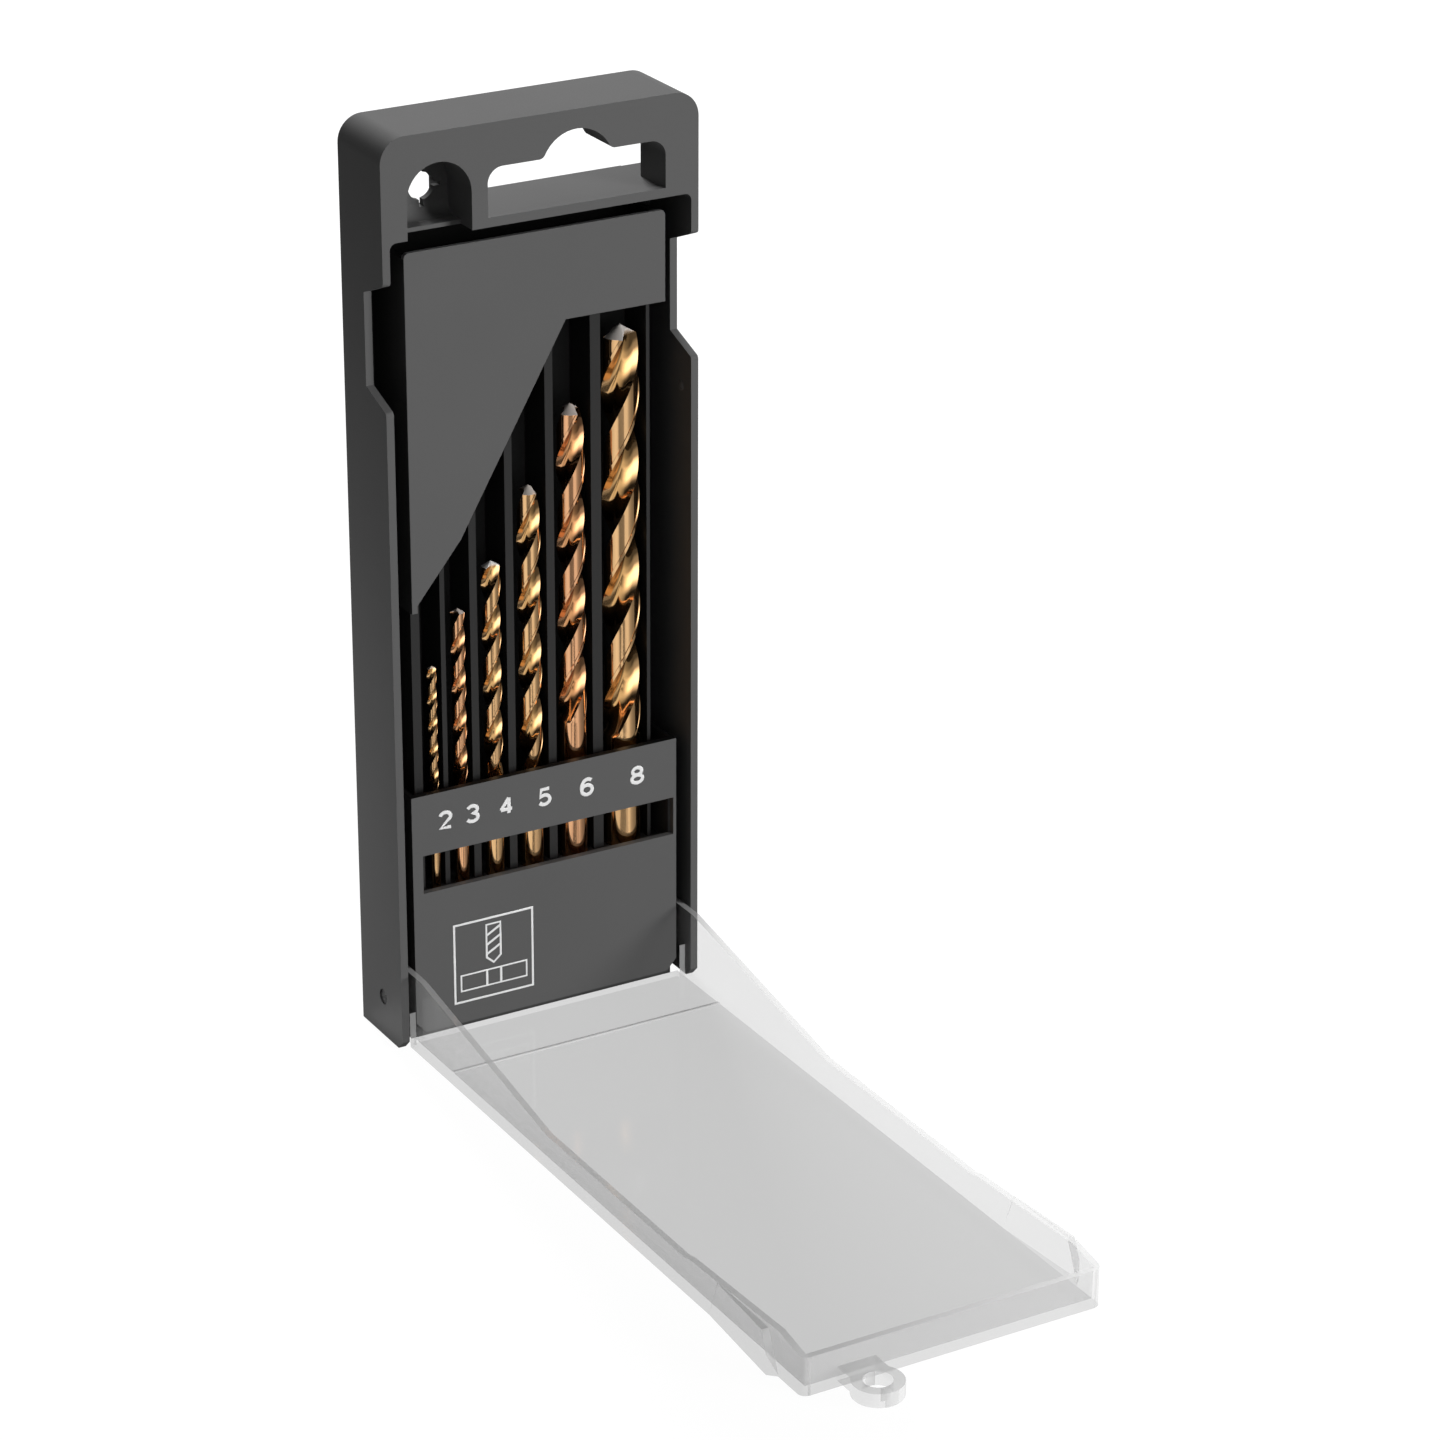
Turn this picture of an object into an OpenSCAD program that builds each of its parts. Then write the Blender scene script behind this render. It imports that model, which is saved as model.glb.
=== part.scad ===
// Upright cassette for six twist drills, standing with its clear lid folded open.
// Origin: middle of the case's foot, on the floor. +X right, +Y to the back, +Z up.
// All sizes are in millimetres. "Depth" counts backwards from the front rim of the case.

/* [Case] */
// Width over the side walls
case_w = 72; // [72:1:84]
// Height from floor to top
case_h = 200.6; // [197:0.2:215]
// Depth from front rim to back face
case_d = 19; // [18.8:0.2:24]
// Thickness of each side wall
side_wall = 1.7; // [1.3:0.1:2.1]
// Thickness of the back wall
back_wall = 1.4; // [1:0.1:1.6]
// Radius of the two top corners
corner_r = 5.4; // [3.5:0.1:7]
// Thickness of the foot that carries the drill holder
foot_t = 2.2; // [1.8:0.1:2.6]
// Depth at which the foot begins, behind the lid's tongue
foot_depth = 4.5; // [3.6:0.1:6]
// Chamfer at the front bottom corner of each side wall
toe = 2; // [1:0.2:3]

/* [Head of the case] */
// Height of the head that closes the case at the top
head_h = 21.6; // [21:0.1:23]
// Thickness of the walls round the head's openings
head_wall = 1.6; // [1.2:0.1:1.8]
// Thickness of the head's front
head_front = 2; // [1.4:0.1:3]
// Radius of the recess's corners under the head
recess_r = 1.5; // [0.5:0.1:2.5]
// Width of the hanging slot
slot_w = 40.6; // [36:0.2:42]
// Height of the hanging slot at its ends
slot_h = 10.3; // [8:0.1:11]
// Centre of the hanging slot, right of the middle
slot_x = 8; // [6:0.1:9]
// Radius of the hanging slot's upper corners
slot_r = 3.4; // [1.5:0.1:4.5]
// Radius of the bump over the hanging slot
bump_r = 8.3; // [7:0.1:9]
// Rise of the bump over the hanging slot
bump_rise = 5.2; // [3:0.1:5.4]
// Radius of the rounded edges beside the bump
bump_fillet_r = 1.6; // [0.6:0.1:2.4]
// Depth of the rim round the hanging slot; behind it the head is open
rim_depth = 10.5; // [8:0.5:14]
// Height of the bar under the hanging slot
bar_h = 2; // [1.6:0.1:2.6]
// How much lower the bar is behind its front lip
bar_step = 0.3; // [0.1:0.1:0.5]
// Width of the arched pocket for the lid's eye
pocket_w = 14.4; // [13.8:0.1:15]
// Centre of the arched pocket, left of the middle
pocket_x = 23.1; // [22.8:0.1:23.6]
// Height of the arch's centre over the head's lower edge
pocket_rise = 8; // [7:0.1:9]
// Depth of the arched pocket
pocket_depth = 10.8; // [8:0.2:13]
// Depth of the pocket's open front, where the eye's neck passes
pocket_mouth = 5; // [4.6:0.1:6]
// Thickness of the pocket's rear wall
pocket_back = 1.6; // [1:0.1:2.4]
// Thickness of the pocket's floor
pocket_floor = 0.9; // [0.6:0.1:1.4]
// Radius of the fillet at the back of the pocket's floor
pocket_fillet_r = 3; // [1:0.1:3.4]
// Diameter of the hanging hole in the pocket
hang_d = 5.8; // [4.5:0.1:6.2]
// Width of the four slits round the hanging hole
slit_w = 0.9; // [0.5:0.1:1]
// Reach of the slits from the hole's centre
slit_reach = 4.3; // [3.6:0.1:4.6]

/* [Grip notches and latch] */
// Depth of the grip notch in each side wall
notch_depth = 8.9; // [8.6:0.1:10]
// Height of the notch's lower end at the rim, under the head
notch_low = 35.4; // [34:0.1:38]
// Height of the notch's upper end at the rim, under the head
notch_high = 8.6; // [7:0.1:9]
// How far the notch's lower end climbs on its way back
notch_climb = 3.3; // [1:0.1:5]
// How far the notch's upper end drops on its way back
notch_drop = 3.6; // [1:0.1:5]
// Radius of the notch's corners at the rim
notch_r = 1; // [0.4:0.1:1.6]
// Radius of the ball that forms each latch nub
nub_r = 1.6; // [1.2:0.1:2]
// How far each latch nub stands out of the wall
nub_out = 0.5; // [0.2:0.1:0.6]
// Depth of the latch nubs
nub_depth = 4.4; // [3:0.1:6]
// Height of the latch nubs under the head
nub_low = 42.8; // [41:0.1:46]

/* [Hinge] */
// Depth of the hinge axis
hinge_depth = 8.8; // [8.7:0.1:9.2]
// Height of the hinge axis over the floor
hinge_h = 9.2; // [9.1:0.1:9.6]
// Diameter of the lid's hinge studs
stud_d = 3.4; // [2.6:0.1:4]
// Radial clearance of each stud in its hole
stud_gap = 0.05; // [0.02:0.01:0.1]
// How far each stud's end stays below the outer wall
stud_shy = 0.4; // [0.2:0.1:0.8]

/* [Lid] */
// Gap between lid and side wall
lid_side_gap = 0.7; // [0.6:0.1:0.9]
// Gap between the closed lid and the head
lid_end_gap = 0.4; // [0.3:0.1:0.8]
// Thickness of the lid's side and end walls
lid_wall = 1.4; // [1.2:0.1:1.6]
// Thickness of the lid's panel
lid_panel = 1.4; // [1.2:0.1:1.5]
// Height of the lid's side walls along most of their length
lid_low = 7.8; // [6.5:0.1:8]
// Height of the lid's side walls beside the hinge
lid_ear = 17.7; // [16:0.1:17.7]
// Distance over which the tall ears run level, in front of the case
ear_level = 4.5; // [2:0.1:8]
// Distance in front of the case where the ears have come down
ear_end = 60; // [50:1:70]
// Radius of the lid's two far corners
lid_r = 1.8; // [0.6:0.1:2.4]
// Distance in front of the case of the low ridge across the lid
ridge_place = 16.1; // [12:0.1:24]
// Width of that ridge
ridge_w = 0.8; // [0.4:0.1:1.2]
// Height of that ridge
ridge_h = 0.3; // [0.1:0.1:0.5]
// How far the panel's tongue reaches under the case
tongue_depth = 2.2; // [1.6:0.1:2.4]
// Depth of the ears' lower rear edge
ear_rear = 1.2; // [0.4:0.1:1.6]
// Radius of the lug round the hinge, on its upper side
lug_r = 8.5; // [7.5:0.1:8.5]
// Radius of the lug round the hinge, on its lower side
lug_low_r = 3.9; // [3.2:0.1:4.5]
// How far the lug's rear edge runs down below the hinge axis
lug_drop = 1.3; // [0.6:0.1:2]
// How much smaller than the lug's underside the collar round each stud is
collar_step = 1; // [0.5:0.1:1.5]
// Height of the end wall and of the side walls beside it
end_wall_h = 8.3; // [7.8:0.1:9]
// Length of the slope from those side walls down to the low ones
end_slope = 2; // [1:0.5:4]
// Height of the side walls at the top of the grip
grip_h = 9.9; // [9:0.1:10.5]
// How far each grip stands out sideways
grip_out = 1.7; // [1:0.1:2.2]
// Clearance between the grip and its notch
grip_gap = 0.5; // [0.3:0.1:0.8]
// Radius of the eye on the lid's end
eye_r = 5.2; // [4.4:0.1:5.4]
// Diameter of the hole in the eye
eye_d = 5.8; // [4.5:0.1:6.2]
// Thickness of the eye
eye_t = 3; // [2:0.1:3.2]
// Height of the eye's upper face over the floor
eye_top = 4.5; // [3.8:0.1:4.6]
// Width of the neck that carries the eye
neck_w = 8.4; // [6:0.1:9]
// Centre of the eye and of the hanging hole, right of the pocket's middle
eye_shift = 1.3; // [0:0.1:1.4]
// Centre of the eye and of the hanging hole, below the arch's centre
eye_drop = 0.8; // [0:0.1:1.2]

/* [Drill holder] */
// Gap between the holder and the lid's side walls
holder_gap = 0.5; // [0.4:0.1:0.8]
// Depth of the holder's front face
holder_depth = 1.8; // [1.6:0.1:2]
// Thickness of the holder's front
holder_front = 1.5; // [1.2:0.1:1.8]
// Thickness of the holder's sides
holder_side = 1.2; // [1:0.1:1.6]
// Thickness of the plate behind the drills
plate_t = 1.6; // [1.2:0.1:1.8]
// Gap between that plate and the cover panel's skirts
plate_gap = 0.2; // [0.1:0.1:0.4]
// Height of the holder's number strip over the floor
strip_top = 57.3; // [55:0.1:60]
// Height of the number strip's lower edge, at the top of the window
window_top = 43.5; // [42:0.1:44]
// Height of the window's lower edge
window_low = 34.8; // [34:0.1:36]
// Width of the window
window_w = 60.3; // [56:0.1:61]
// Centre of the window, right of the middle
window_x = 0.85; // [0:0.05:0.9]
// Chamfer width at the holder's bottom corners
foot_corner_w = 2.3; // [1:0.1:3]
// Chamfer height at the holder's bottom corners
foot_corner_h = 2.6; // [1:0.1:3.5]
// Height of the shelf that the shanks stand in
rest_top = 33; // [32:0.1:33.6]
// Thickness of that shelf
rest_t = 7; // [5:0.5:9]
// Depth of the sockets in that shelf
socket_deep = 2.5; // [1.5:0.1:3.5]
// Height of the guide shelf's underside
guide_low = 44.5; // [44:0.1:46]
// Thickness of the guide shelf
guide_t = 5; // [4:0.1:5.2]
// Radial clearance of a shank in its bores
shank_gap = 0.1; // [0.05:0.01:0.1]
// Depth of the ribs' front edges
rib_depth = 7; // [6.6:0.1:8]
// How far the ribs stop short of the cover panel's top edge
rib_short = 7; // [4:0.5:12]
// Ribs between neighbouring channels, left to right
rib_w = [1.1, 1.7, 1.8, 1.9, 2.4]; // [0.8:0.1:2.6]
// Width of the rib left of the first channel
left_rib = 2; // [1:0.1:2.4]
// Width of the rib right of the last channel
right_rib = 0.8; // [0.6:0.1:1.2]

/* [Cover panel] */
// How much narrower than the holder the panel is, each side
panel_step = 1.8; // [1.4:0.1:2.2]
// Depth of the panel's front face
panel_depth = 3; // [2.6:0.1:3.1]
// Thickness of the panel
panel_t = 1.1; // [0.8:0.1:1.2]
// Thickness of the panel's side skirts
skirt_t = 1.4; // [1:0.1:1.6]
// Gap between the panel's top edge and the head
panel_gap = 3.6; // [3.2:0.1:4.5]
// Height of the panel's right-hand edge
panel_right_h = 19.8; // [15:0.1:22]
// Height of the panel's left-hand edge
panel_left_h = 77.5; // [70:0.5:85]
// Where the level lower edge ends, right of the middle
panel_knee_x = 6.6; // [4:0.1:9]
// Where the slant meets the last short edge, left of the middle
panel_elbow_x = 18.3; // [16:0.1:21]
// Height of that point under the panel's top edge
panel_elbow_h = 63.2; // [58:0.1:68]
// Radius of the panel's top corners
panel_r = 1.2; // [0.5:0.1:2]

/* [Twist drills] */
// Diameters, left to right
drill_d = [2, 3, 4, 5, 6, 8]; // [1.5:0.1:8]
// Overall lengths
drill_len = [53.5, 65, 74, 89, 105, 120]; // [50:0.5:120]
// Lengths of the fluted ends with their run-outs
flute_len = [31, 40.5, 49.5, 65.5, 71, 92]; // [28:0.5:95]
// Turn of each drill in its socket, in degrees
drill_turn = [20, 80, 35, 60, 10, 0]; // [0:5:180]
// Length of one full turn of the helix, in diameters
lead_ratio = 6.1; // [5:0.1:7]
// Thickness of the web between the flutes, in diameters
web_ratio = 0.22; // [0.18:0.01:0.3]
// Half the angle that one flute spans on the rim
flute_half = 54; // [45:1:60]
// How hollow the flutes are; at 1 their sides are nearly straight
flute_curve = 1.6; // [1.2:0.1:2]
// Length over which the flutes rise out of the shank, in diameters
run_out = 1.3; // [1:0.1:1.8]
// How far the fluted body stays under the shank's radius
body_under = 0.02; // [0.01:0.01:0.05]
// How far the fluted body reaches down into the shank
body_sunk = 0.3; // [0.1:0.1:1]
// Half the width of the chisel edge at the tip, in diameters
chisel_half = 0.05; // [0.02:0.01:0.1]
// Bevel at the shank's end, in diameters
shank_bevel = 0.06; // [0.03:0.01:0.1]
// Point angle
point_angle = 118; // [118:1:135]
// Depth of an axis with no diameter; thicker drills sit deeper
axis_depth = 6.1; // [6:0.1:6.4]
// Depth that each millimetre of diameter adds to the axis
axis_rate = 0.3; // [0.25:0.01:0.35]

/* [Hidden] */
$fn = 64;
eps = 0.01;
over = 1;

// Planes and heights that several pieces share
front_y = -case_d / 2;
back_y = case_d / 2;
inner_back_y = back_y - back_wall;
inner_half = case_w / 2 - side_wall;
head_z = case_h - head_h;
slot_low = head_z + bar_h;
bump_z = slot_low + slot_h + bump_rise - bump_r;
hinge_y = at_depth(hinge_depth);
lid_half = inner_half - lid_side_gap;
lid_inner = lid_half - lid_wall;
holder_half = lid_inner - holder_gap;
panel_half = holder_half - panel_step;
panel_top = head_z - panel_gap;
plate_half = panel_half - skirt_t - plate_gap;
socket_floor = rest_top - socket_deep;
hole_x = -pocket_x + eye_shift;
hole_z = head_z + pocket_rise - eye_drop;

// The lid is drawn as it lies on the floor. Folded up, what is at height "closed_z"
// lies this far along Y.
function folded_y(closed_z) = hinge_y - (closed_z - hinge_h);
lid_end_y = folded_y(head_z - lid_end_gap);
eye_y = folded_y(hole_z);
grip_top_y = folded_y(head_z - notch_high - grip_gap);
grip_foot_y = folded_y(head_z - notch_low + grip_gap);
grip_back_z = hinge_h - hinge_depth + notch_depth - grip_gap;
catch_y = folded_y(head_z - nub_low);

function at_depth(d) = front_y + d;
function total(list, i = 0) = i < len(list) ? list[i] + total(list, i + 1) : 0;

// The drills stand in channels between ribs. What the drills and ribs leave of the
// width is shared out as equal clearances, one on each side of each drill.
channel_gap = (2 * plate_half - left_rib - right_rib - total(drill_d) - total(rib_w)) / (2 * len(drill_d));
function drill_x(i) = i == 0 ? left_rib - plate_half + channel_gap + drill_d[0] / 2
    : drill_x(i - 1) + (drill_d[i - 1] + drill_d[i]) / 2 + 2 * channel_gap + rib_w[i - 1];
function drill_y(i) = at_depth(axis_depth + axis_rate * drill_d[i]);
function sides(i) = drill_d[i] > 5.5 ? 24 : drill_d[i] > 3.5 ? 20 : 16;

// ---- helpers -------------------------------------------------------------

// An outline drawn in Y and Z, extruded along X
module along_x(x0, x1) {
    translate([x0, 0, 0])
        rotate([90, 0, 90])
            linear_extrude(x1 - x0)
                children();
}

// An outline drawn in X and Z, extruded along Y
module along_y(y0, y1) {
    translate([0, y1, 0])
        rotate([90, 0, 0])
            linear_extrude(y1 - y0)
                children();
}

module box(x, y, z) {
    translate([x[0], y[0], z[0]])
        cube([x[1] - x[0], y[1] - y[0], z[1] - z[0]]);
}

module mirrored() {
    children();
    mirror([1, 0, 0])
        children();
}

// A rectangle whose upper corners are round
module arched_rect(x, z, r) {
    translate([x[0], z[0]])
        square([x[1] - x[0], z[1] - z[0] - r]);
    translate([x[0] + r, z[0]])
        square([x[1] - x[0] - 2 * r, z[1] - z[0]]);
    for (cx = [x[0] + r, x[1] - r])
        translate([cx, z[1] - r])
            circle(r);
}

// ---- case ----------------------------------------------------------------

// The hanging slot, grown by g on every side
module hanging_slot_outline(g) {
    arched_rect([slot_x - slot_w / 2 - g, slot_x + slot_w / 2 + g],
                [slot_low - g, slot_low + slot_h + g], slot_r + g);
    intersection() {
        translate([slot_x, bump_z])
            circle(bump_r + g);
        translate([slot_x - slot_w / 2, slot_low - g])
            square([slot_w, slot_w]);
    }
}

// The rounded edges that lead from the slot's upper edge into the bump. Each round
// dips a hair into both, so that the outlines cross instead of only touching.
module bump_fillets() {
    reach = bump_r + bump_fillet_r - eps;
    fillet_z = slot_low + slot_h + bump_fillet_r - eps;
    fillet_x = sqrt(reach * reach - (fillet_z - bump_z) * (fillet_z - bump_z));
    for (side = [-1, 1])
        translate([slot_x, 0])
            difference() {
                polygon([[0, bump_z], [side * fillet_x, bump_z], [side * fillet_x, fillet_z]]);
                translate([side * fillet_x, fillet_z])
                    circle(bump_fillet_r);
            }
}

// The arched pocket, grown by g, from height z0 upwards
module pocket_outline(g, z0) {
    translate([-pocket_x - pocket_w / 2 - g, z0])
        square([pocket_w + 2 * g, head_z + pocket_rise - z0]);
    translate([-pocket_x, head_z + pocket_rise])
        circle(pocket_w / 2 + g);
}

// The recess in front of the back wall, between the side walls and under the head
module recess() {
    along_y(front_y - over, inner_back_y)
        arched_rect([-inner_half, inner_half], [-over, head_z], recess_r);
}

// What stays solid to the back: the pocket's walls and the block between pocket and slot
module pocket_block_outline() {
    pocket_outline(head_wall, head_z);
    translate([-pocket_x, head_z])
        square([slot_x - slot_w / 2 + pocket_x, bar_h + slot_h]);
}

// The head is cored out from behind, round the pocket and the slot's rim
module head_core() {
    core_top = min(case_h - head_wall, bump_z + bump_r + head_wall - eps);
    along_y(at_depth(head_front), back_y + over)
        difference() {
            arched_rect([-inner_half, inner_half], [head_z + head_wall, core_top],
                        corner_r - side_wall);
            hanging_slot_outline(head_wall);
            pocket_block_outline();
        }
    along_y(at_depth(rim_depth), back_y + over) {
        difference() {
            arched_rect([-inner_half, inner_half], [slot_low - bar_step, core_top],
                        corner_r - side_wall);
            pocket_block_outline();
        }
        translate([slot_x + slot_w / 2, head_z + head_wall])
            square([inner_half - slot_x - slot_w / 2, bar_h]);
    }
    along_y(at_depth(pocket_depth + pocket_back), back_y + over)
        pocket_outline(0, head_z + pocket_floor);
}

// The hollow fillet where the pocket's floor meets its rear wall
module pocket_fillet() {
    corner = [at_depth(pocket_depth), head_z + pocket_floor];
    difference() {
        translate([corner[0] - pocket_fillet_r, corner[1] - over])
            square([pocket_fillet_r + over, pocket_fillet_r + over]);
        translate([corner[0] - pocket_fillet_r, corner[1] + pocket_fillet_r])
            circle(pocket_fillet_r);
    }
}

module pocket() {
    along_y(front_y - over, at_depth(pocket_mouth))
        pocket_outline(0, head_z - over);
    difference() {
        along_y(front_y - over, at_depth(pocket_depth))
            pocket_outline(0, head_z + pocket_floor);
        along_x(-pocket_x - pocket_w, -pocket_x + pocket_w)
            pocket_fillet();
    }
    translate([hole_x, back_y + over, hole_z])
        rotate([90, 0, 0])
            cylinder(d = hang_d, h = case_d);
    for (turn = [0, 90])
        translate([hole_x, 0, hole_z])
            rotate([0, turn, 0])
                box([-slit_reach, slit_reach], [front_y, back_y + over], [-slit_w / 2, slit_w / 2]);
}

// What a rounding of radius r takes off a corner between edges that leave it at angles
// a1 and a2
module corner_cut(corner, a1, a2, r) {
    half = (a2 - a1) / 2;
    run = r / tan(half);
    middle = corner + r / sin(half) * [cos(a1 + half), sin(a1 + half)];
    difference() {
        polygon([corner, corner + run * [cos(a1), sin(a1)], middle, corner + run * [cos(a2), sin(a2)]]);
        translate(middle)
            circle(r);
    }
}

module notch_roundings() {
    low = head_z - notch_low;
    high = head_z - notch_high;
    corner_cut([front_y, low], -90, atan(notch_climb / notch_depth), notch_r);
    corner_cut([front_y, high], -atan(notch_drop / notch_depth), 90, notch_r);
}

// The side view of a grip notch, grown inwards by g
module notch_outline(g) {
    rim = front_y - over;
    floor_y = at_depth(notch_depth - g);
    low = head_z - notch_low + g;
    high = head_z - notch_high - g;
    polygon([[rim, low], [front_y, low], [floor_y, low + notch_climb],
             [floor_y, high - notch_drop], [front_y, high], [rim, high]]);
}

module case_body() {
    color("#58595b")
    union() {
        difference() {
            along_y(front_y, back_y)
                arched_rect([-case_w / 2, case_w / 2], [0, case_h], corner_r);
            recess();
            head_core();
            pocket();
            along_y(front_y - over, back_y + over) {
                hanging_slot_outline(0);
                bump_fillets();
            }
            box([slot_x - slot_w / 2, slot_x + slot_w / 2], [at_depth(head_front), back_y + over],
                [slot_low - bar_step, slot_low + over]);
            mirrored()
                along_x(inner_half - over, case_w / 2 + over) {
                    notch_outline(0);
                    notch_roundings();
                }
            mirrored()
                along_x(inner_half - over, case_w / 2 + over)
                    polygon([[front_y - over, -over], [front_y + toe, -over],
                             [front_y + toe, 0], [front_y, toe], [front_y - over, toe]]);
            mirrored()
                translate([inner_half - over, hinge_y, hinge_h])
                    rotate([0, 90, 0])
                        cylinder(d = stud_d + 2 * stud_gap, h = side_wall + 2 * over);
        }
        box([-holder_half, holder_half], [at_depth(foot_depth), back_y], [0, foot_t]);
        mirrored()
            intersection() {
                translate([inner_half - nub_out + nub_r, at_depth(nub_depth), head_z - nub_low])
                    sphere(nub_r);
                box([0, inner_half + side_wall / 2], [front_y, back_y], [0, head_z]);
            }
    }
}

// ---- cover panel ---------------------------------------------------------

module panel_outline() {
    low_right = panel_top - panel_right_h;
    low_left = panel_top - panel_left_h;
    intersection() {
        polygon([[-panel_half, panel_top], [-panel_half, low_left],
                 [-panel_elbow_x, panel_top - panel_elbow_h], [panel_knee_x, low_right],
                 [panel_half, low_right], [panel_half, panel_top]]);
        arched_rect([-panel_half, panel_half], [low_left, panel_top], panel_r);
    }
}

module cover_panel() {
    color("#5b5c5e")
    union() {
        along_y(at_depth(panel_depth), at_depth(panel_depth + panel_t))
            panel_outline();
        box([-panel_half, skirt_t - panel_half], [at_depth(panel_depth), inner_back_y],
            [panel_top - panel_left_h, panel_top - panel_r]);
        box([panel_half - skirt_t, panel_half], [at_depth(panel_depth), inner_back_y],
            [panel_top - panel_right_h, panel_top - panel_r]);
    }
}

// ---- drill holder --------------------------------------------------------

module holder_block_outline() {
    polygon([[-holder_half, strip_top], [-holder_half, foot_t + foot_corner_h],
             [foot_corner_w - holder_half, foot_t], [holder_half - foot_corner_w, foot_t],
             [holder_half, foot_t + foot_corner_h], [holder_half, strip_top]]);
}

// Bores that the shanks stand in, wider than each drill by the shank clearance
module shank_bores() {
    for (i = [0 : len(drill_d) - 1])
        translate([drill_x(i), drill_y(i), socket_floor])
            cylinder(d = drill_d[i] + 2 * shank_gap, h = guide_low + guide_t - socket_floor + over);
}

module channel_rib(x, w) {
    box([x, x + w], [at_depth(rib_depth), inner_back_y - plate_t], [rest_top, panel_top - rib_short]);
}

module channel_ribs() {
    channel_rib(-plate_half, left_rib);
    for (i = [0 : len(rib_w) - 1])
        channel_rib(drill_x(i) + drill_d[i] / 2 + channel_gap, rib_w[i]);
    channel_rib(plate_half - right_rib, right_rib);
}

module drill_holder() {
    shell_y = at_depth(holder_depth + holder_front);
    plate_y = inner_back_y - plate_t;
    inner_x = [holder_side - holder_half, holder_half - holder_side];
    color("#58595b")
    union() {
        difference() {
            along_y(at_depth(holder_depth), inner_back_y)
                holder_block_outline();
            box(inner_x, [shell_y, plate_y], [foot_t + foot_corner_h, rest_top - rest_t]);
            box(inner_x, [shell_y, plate_y], [rest_top, guide_low]);
            box(inner_x, [shell_y, plate_y], [guide_low + guide_t, strip_top + over]);
            box([window_x - window_w / 2, window_x + window_w / 2], [front_y, shell_y],
                [window_low, window_top]);
            shank_bores();
        }
        box([-plate_half, plate_half], [plate_y, inner_back_y], [strip_top - over, panel_top - eps]);
        channel_ribs();
    }
}

// ---- lid -----------------------------------------------------------------

// Side view of one of the lid's walls, with the lug that reaches back to the hinge
module lid_side_outline() {
    polygon([[at_depth(ear_rear), 0], [lid_end_y, 0], [lid_end_y, end_wall_h],
             [grip_top_y, grip_h], [catch_y, end_wall_h], [catch_y + end_slope, lid_low],
             [front_y - ear_end, lid_low], [front_y - ear_level, lid_ear],
             [hinge_y, lid_ear], [hinge_y, hinge_h], [at_depth(ear_rear), hinge_h]]);
    intersection() {
        translate([hinge_y, hinge_h])
            circle(lug_r);
        translate([at_depth(ear_rear), hinge_h])
            square([2 * lug_r, lug_r]);
        translate([hinge_y - lug_r, hinge_h])
            square([2 * lug_r, lid_ear - hinge_h]);
    }
    translate([hinge_y, hinge_h])
        circle(lug_low_r);
    polygon([[at_depth(ear_rear), hinge_h], [hinge_y, hinge_h], [hinge_y, hinge_h - lug_low_r],
             [at_depth(ear_rear), hinge_h - lug_drop]]);
}

// The grip on each side wall fills its notch when the lid is shut. Its outline is
// the notch's, turned a quarter round the hinge.
module grip_outline() {
    translate([hinge_y, hinge_h])
        rotate(90)
            translate([-hinge_y, -hinge_h])
                notch_outline(grip_gap);
}

module grip() {
    ramp = grip_foot_y - grip_top_y;
    intersection() {
        along_x(lid_half - eps, lid_half + grip_out)
            intersection() {
                grip_outline();
                translate([lid_end_y, 0])
                    square([2 * ramp, grip_back_z]);
            }
        translate([0, 0, -over])
            linear_extrude(hinge_h + lid_ear)
                polygon([[lid_half - over, grip_foot_y], [lid_half, grip_foot_y],
                         [lid_half + grip_out, grip_top_y + grip_out],
                         [lid_half, grip_top_y], [lid_half - over, grip_top_y]]);
    }
}

module eye() {
    eye_z = [eye_top - eye_t, eye_top];
    translate([0, 0, eye_z[0]])
        difference() {
            union() {
                translate([hole_x, eye_y, 0])
                    cylinder(r = eye_r, h = eye_t);
                box([hole_x - neck_w / 2, hole_x + neck_w / 2], [eye_y, lid_end_y + eps], [0, eye_t]);
            }
            translate([hole_x, eye_y, -over])
                cylinder(d = eye_d, h = eye_t + 2 * over);
        }
}

module hinge_stud() {
    translate([lid_half - eps, hinge_y, hinge_h])
        rotate([0, 90, 0]) {
            cylinder(d = stud_d, h = case_w / 2 - stud_shy - lid_half + eps);
            cylinder(r = lug_low_r - collar_step, h = lid_side_gap / 2 + eps);
        }
}

module lid() {
    ridge_y = front_y - ridge_place;
    color("#d9dcdd", 0.5)
    union() {
        difference() {
            union() {
                box([-lid_half, lid_half], [lid_end_y, front_y], [0, lid_panel]);
                box([-lid_half, lid_half], [lid_end_y, lid_end_y + lid_wall], [0, end_wall_h]);
                mirrored()
                    along_x(lid_inner, lid_half)
                        lid_side_outline();
            }
            mirrored()
                translate([0, 0, -over])
                    linear_extrude(end_wall_h + 2 * over)
                        corner_cut([lid_half, lid_end_y], 90, 180, lid_r);
        }
        box([-lid_inner - eps, lid_inner + eps], [front_y - over, at_depth(tongue_depth)], [0, lid_panel]);
        box([-lid_inner, lid_inner], [ridge_y - ridge_w / 2, ridge_y + ridge_w / 2],
            [lid_panel - eps, lid_panel + ridge_h]);
        mirrored() {
            grip();
            hinge_stud();
        }
        eye();
    }
}

// ---- drills --------------------------------------------------------------

// Radius of the fluted body at the angle "a" from the middle of a land
function fluted_r(r, web, a) =
    let (from_land = abs(a - 180 * round(a / 180)), t = min(1, (90 - from_land) / flute_half))
    web + (r - web) * pow(sin(90 * t), flute_curve);

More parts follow.
